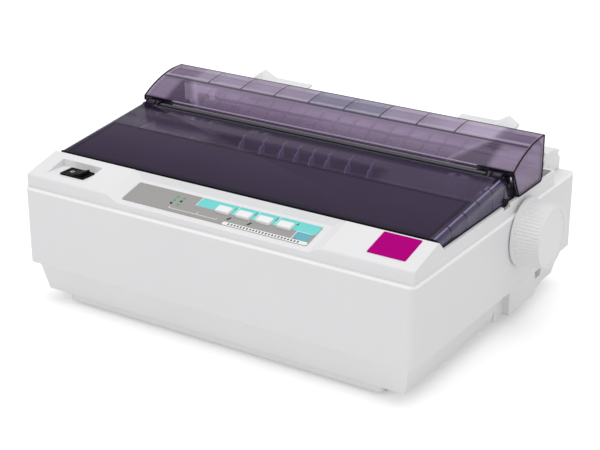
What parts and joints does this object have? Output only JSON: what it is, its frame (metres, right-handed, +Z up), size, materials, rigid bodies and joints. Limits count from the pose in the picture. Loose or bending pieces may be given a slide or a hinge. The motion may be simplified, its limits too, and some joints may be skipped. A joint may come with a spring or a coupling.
{
  "type": "dot matrix printer",
  "caption": "Desktop dot matrix printer: two-part case, hinged smoked lid and hood, platen with side knob, sloped control panel and tilting rear sheet guide.",
  "frame": {"origin": "centre of the bounding box in plan, on the table under the feet; the box runs from the case's left side to the knob's face, so the case's own middle is 12.5 mm towards -X", "axes": "+X to the right along the platen, towards the knob; +Y to the back; +Z up"},
  "size_m": [0.397, 0.285, 0.1555],
  "materials": {
    "case_white": "light textured moulding",
    "tray_white": "light textured moulding",
    "knob_white": "smooth moulding",
    "guide_white": "smooth moulding",
    "button_white": "smooth",
    "panel_grey": "printed film",
    "badge_magenta": "plain printed plate",
    "led_clear": "small lamp",
    "switch_black": "smooth",
    "lid_smoke": "smoked clear plastic",
    "hood_smoke": "smoked clear plastic",
    "rod_steel": "ground rod",
    "shaft_steel": "ground shaft",
    "frame_steel": "zinc-coated sheet",
    "platen_rubber": "ground rubber",
    "roller_rubber": "moulded rubber",
    "foot_rubber": "moulded rubber",
    "bush_plastic": "bearing plastic",
    "gear_plastic": "moulded gear",
    "brass_part": "turned",
    "motor_dark": "dark coated",
    "dark_plastic": "black moulding",
    "grey_plastic": "grey moulding",
    "head_metal": "dark cast fins",
    "ribbon_ink": "inked ribbon",
    "belt_rubber": "toothed belt",
    "ribbon_knob_blue": "moulded",
    "board_green": "circuit board",
    "board_tan": "circuit board",
    "socket_black": "moulded",
    "screw_steel": "plated"
  },
  "bodies": {
    "case": {"lower_case": "tray_white", "rubber_feet": "foot_rubber", "upper_case": "case_white", "panel_overlay": "panel_grey", "badge_plate": "badge_magenta", "indicator_leds": "led_clear", "panel_board": "board_green", "switch_housing": "switch_black", "chassis_pan": "frame_steel", "left_side_frame": "frame_steel", "right_side_frame": "frame_steel", "platen_bushes": "bush_plastic", "feed_motor": "motor_dark", "paper_pan": "dark_plastic", "guide_rod": "shaft_steel", "carriage_rail": "frame_steel", "ribbon_cartridge": "dark_plastic", "ribbon_band": "ribbon_ink", "drive_belt": "belt_rubber", "carriage_motor": "motor_dark", "exit_guide": "grey_plastic", "tractor_bar": "shaft_steel", "control_board": "board_green", "power_board": "board_tan", "rear_sockets": "socket_black", "case_screws": "screw_steel"},
    "hood": {"rear_hood": "hood_smoke", "hinge_rod": "rod_steel"},
    "lid": {"front_lid": "lid_smoke"},
    "platen": {"platen_shaft": "shaft_steel", "platen_roller": "platen_rubber", "platen_gear": "gear_plastic", "knob": "knob_white"},
    "idler_gear": {"feed_idler_gear": "gear_plastic"},
    "pinion": {"feed_pinion": "brass_part"},
    "tractor_drive": {"tractor_shaft": "shaft_steel", "tractor_gear": "gear_plastic"},
    "pinch": {"pinch_rollers": "roller_rubber"},
    "carriage_unit": {"carriage": "dark_plastic", "print_head": "head_metal"},
    "motor_pulley_unit": {"motor_pulley": "brass_part"},
    "idler_pulley_unit": {"idler_pulley": "gear_plastic"},
    "ribbon_winder": {"ribbon_knob": "ribbon_knob_blue"},
    "bail": {"paper_bail": "shaft_steel"},
    "bail_wheels": {"bail_rollers": "roller_rubber"},
    "tractor_l": {"left_tractor": "grey_plastic"},
    "tractor_r": {"right_tractor": "grey_plastic"},
    "wheel_l": {"left_pin_wheel": "dark_plastic"},
    "wheel_r": {"right_pin_wheel": "dark_plastic"},
    "door_l": {"left_tractor_door": "grey_plastic"},
    "door_r": {"right_tractor_door": "grey_plastic"},
    "lever": {"release_lever": "guide_white"},
    "guide": {"sheet_guide": "guide_white"},
    "edge_l": {"left_edge_guide": "guide_white"},
    "edge_r": {"right_edge_guide": "guide_white"},
    "rocker_switch": {"rocker": "switch_black"},
    "push_1": {"button_1": "button_white"},
    "push_2": {"button_2": "button_white"},
    "push_3": {"button_3": "button_white"},
    "push_4": {"button_4": "button_white"}
  },
  "joints": [
    {"name": "hood_open", "type": "hinge", "parent": "case", "child": "hood", "pos_m": [-0.0125, 0.0715, 0.1198], "axis": [-1, 0, 0], "range_deg": [0, 45]},
    {"name": "lid_open", "type": "hinge", "parent": "hood", "child": "lid", "pos_m": [-0.0125, 0.016, 0.1345], "axis": [-1, 0, 0], "range_deg": [0, 100]},
    {"name": "platen_turn", "type": "hinge", "parent": "case", "child": "platen", "pos_m": [-0.0125, 0.042, 0.083], "axis": [1, 0, 0], "continuous": true},
    {"name": "idler_turn", "type": "hinge", "parent": "case", "child": "idler_gear", "pos_m": [-0.1645, 0.06202, 0.04832], "axis": [1, 0, 0], "continuous": true},
    {"name": "pinion_turn", "type": "hinge", "parent": "case", "child": "pinion", "pos_m": [-0.1645, 0.08556, 0.03975], "axis": [1, 0, 0], "continuous": true},
    {"name": "tractor_turn", "type": "hinge", "parent": "case", "child": "tractor_drive", "pos_m": [-0.0125, 0.08131, 0.08603], "axis": [1, 0, 0], "continuous": true},
    {"name": "pinch_turn", "type": "hinge", "parent": "case", "child": "pinch", "pos_m": [-0.0125, 0.03437, 0.06205], "axis": [1, 0, 0], "continuous": true},
    {"name": "tractor_left_slide", "type": "slide", "parent": "case", "child": "tractor_l", "axis": [1, 0, 0], "range_m": [-0.008, 0.05]},
    {"name": "tractor_right_slide", "type": "slide", "parent": "case", "child": "tractor_r", "axis": [1, 0, 0], "range_m": [-0.05, 0.008]},
    {"name": "wheel_left_turn", "type": "hinge", "parent": "tractor_l", "child": "wheel_l", "pos_m": [-0.1145, 0.08131, 0.08603], "axis": [1, 0, 0], "continuous": true},
    {"name": "wheel_right_turn", "type": "hinge", "parent": "tractor_r", "child": "wheel_r", "pos_m": [0.0895, 0.08131, 0.08603], "axis": [1, 0, 0], "continuous": true},
    {"name": "door_left_open", "type": "hinge", "parent": "tractor_l", "child": "door_l", "pos_m": [-0.1245, 0.081, 0.09682], "axis": [0, -1, 0], "range_deg": [0, 100]},
    {"name": "door_right_open", "type": "hinge", "parent": "tractor_r", "child": "door_r", "pos_m": [0.0995, 0.081, 0.09682], "axis": [0, 1, 0], "range_deg": [0, 100]},
    {"name": "carriage_move", "type": "slide", "parent": "case", "child": "carriage_unit", "axis": [1, 0, 0], "range_m": [-0.105, 0.105]},
    {"name": "motor_pulley_turn", "type": "hinge", "parent": "case", "child": "motor_pulley_unit", "pos_m": [0.1155, -0.0205, 0.0447], "axis": [0, 0, 1], "range_deg": [-900, 900]},
    {"name": "idler_pulley_turn", "type": "hinge", "parent": "case", "child": "idler_pulley_unit", "pos_m": [-0.1405, -0.0205, 0.0447], "axis": [0, 0, 1], "range_deg": [-900, 900]},
    {"name": "ribbon_wind", "type": "hinge", "parent": "case", "child": "ribbon_winder", "pos_m": [-0.1175, -0.0585, 0.095], "axis": [0, 0, 1], "continuous": true},
    {"name": "bail_lift", "type": "hinge", "parent": "case", "child": "bail", "pos_m": [-0.0125, 0.064, 0.1], "axis": [-1, 0, 0], "range_deg": [0, 30]},
    {"name": "bail_roll", "type": "hinge", "parent": "bail", "child": "bail_wheels", "pos_m": [-0.0125, 0.02831, 0.09932], "axis": [1, 0, 0], "continuous": true},
    {"name": "lever_tip", "type": "hinge", "parent": "case", "child": "lever", "pos_m": [-0.186, 0.0895, 0.06], "axis": [1, 0, 0], "range_deg": [0, 10]},
    {"name": "guide_tilt", "type": "hinge", "parent": "case", "child": "guide", "pos_m": [-0.0125, 0.1185, 0.1117], "axis": [1, 0, 0], "range_deg": [0, 45]},
    {"name": "edge_left_slide", "type": "slide", "parent": "guide", "child": "edge_l", "axis": [1, 0, 0], "range_m": [-0.02, 0.05]},
    {"name": "edge_right_slide", "type": "slide", "parent": "guide", "child": "edge_r", "axis": [1, 0, 0], "range_m": [-0.05, 0.03]},
    {"name": "rocker_tip", "type": "hinge", "parent": "case", "child": "rocker_switch", "pos_m": [-0.157, -0.1217, 0.11431], "axis": [0, 1, 0], "range_deg": [0, 18]},
    {"name": "press_1", "type": "slide", "parent": "case", "child": "push_1", "axis": [0, 0.2504, -0.9681], "range_m": [0, 0.0008], "stiffness_N_per_m": 500, "springref_m": -0.0008},
    {"name": "press_2", "type": "slide", "parent": "case", "child": "push_2", "axis": [0, 0.2504, -0.9681], "range_m": [0, 0.0008], "stiffness_N_per_m": 500, "springref_m": -0.0008},
    {"name": "press_3", "type": "slide", "parent": "case", "child": "push_3", "axis": [0, 0.2504, -0.9681], "range_m": [0, 0.0008], "stiffness_N_per_m": 500, "springref_m": -0.0008},
    {"name": "press_4", "type": "slide", "parent": "case", "child": "push_4", "axis": [0, 0.2504, -0.9681], "range_m": [0, 0.0008], "stiffness_N_per_m": 500, "springref_m": -0.0008}
  ],
  "couplings": [
    {"joint": "idler_turn", "follows": "platen_turn", "ratio": -1.2857},
    {"joint": "pinion_turn", "follows": "platen_turn", "ratio": 3},
    {"joint": "tractor_turn", "follows": "platen_turn", "ratio": -1.3333},
    {"joint": "wheel_left_turn", "follows": "platen_turn", "ratio": -1.3333},
    {"joint": "wheel_right_turn", "follows": "platen_turn", "ratio": -1.3333},
    {"joint": "pinch_turn", "follows": "platen_turn", "ratio": -2.6667},
    {"joint": "motor_pulley_turn", "follows": "carriage_move", "rad_per_m": -144.93},
    {"joint": "idler_pulley_turn", "follows": "carriage_move", "rad_per_m": -144.93}
  ]
}
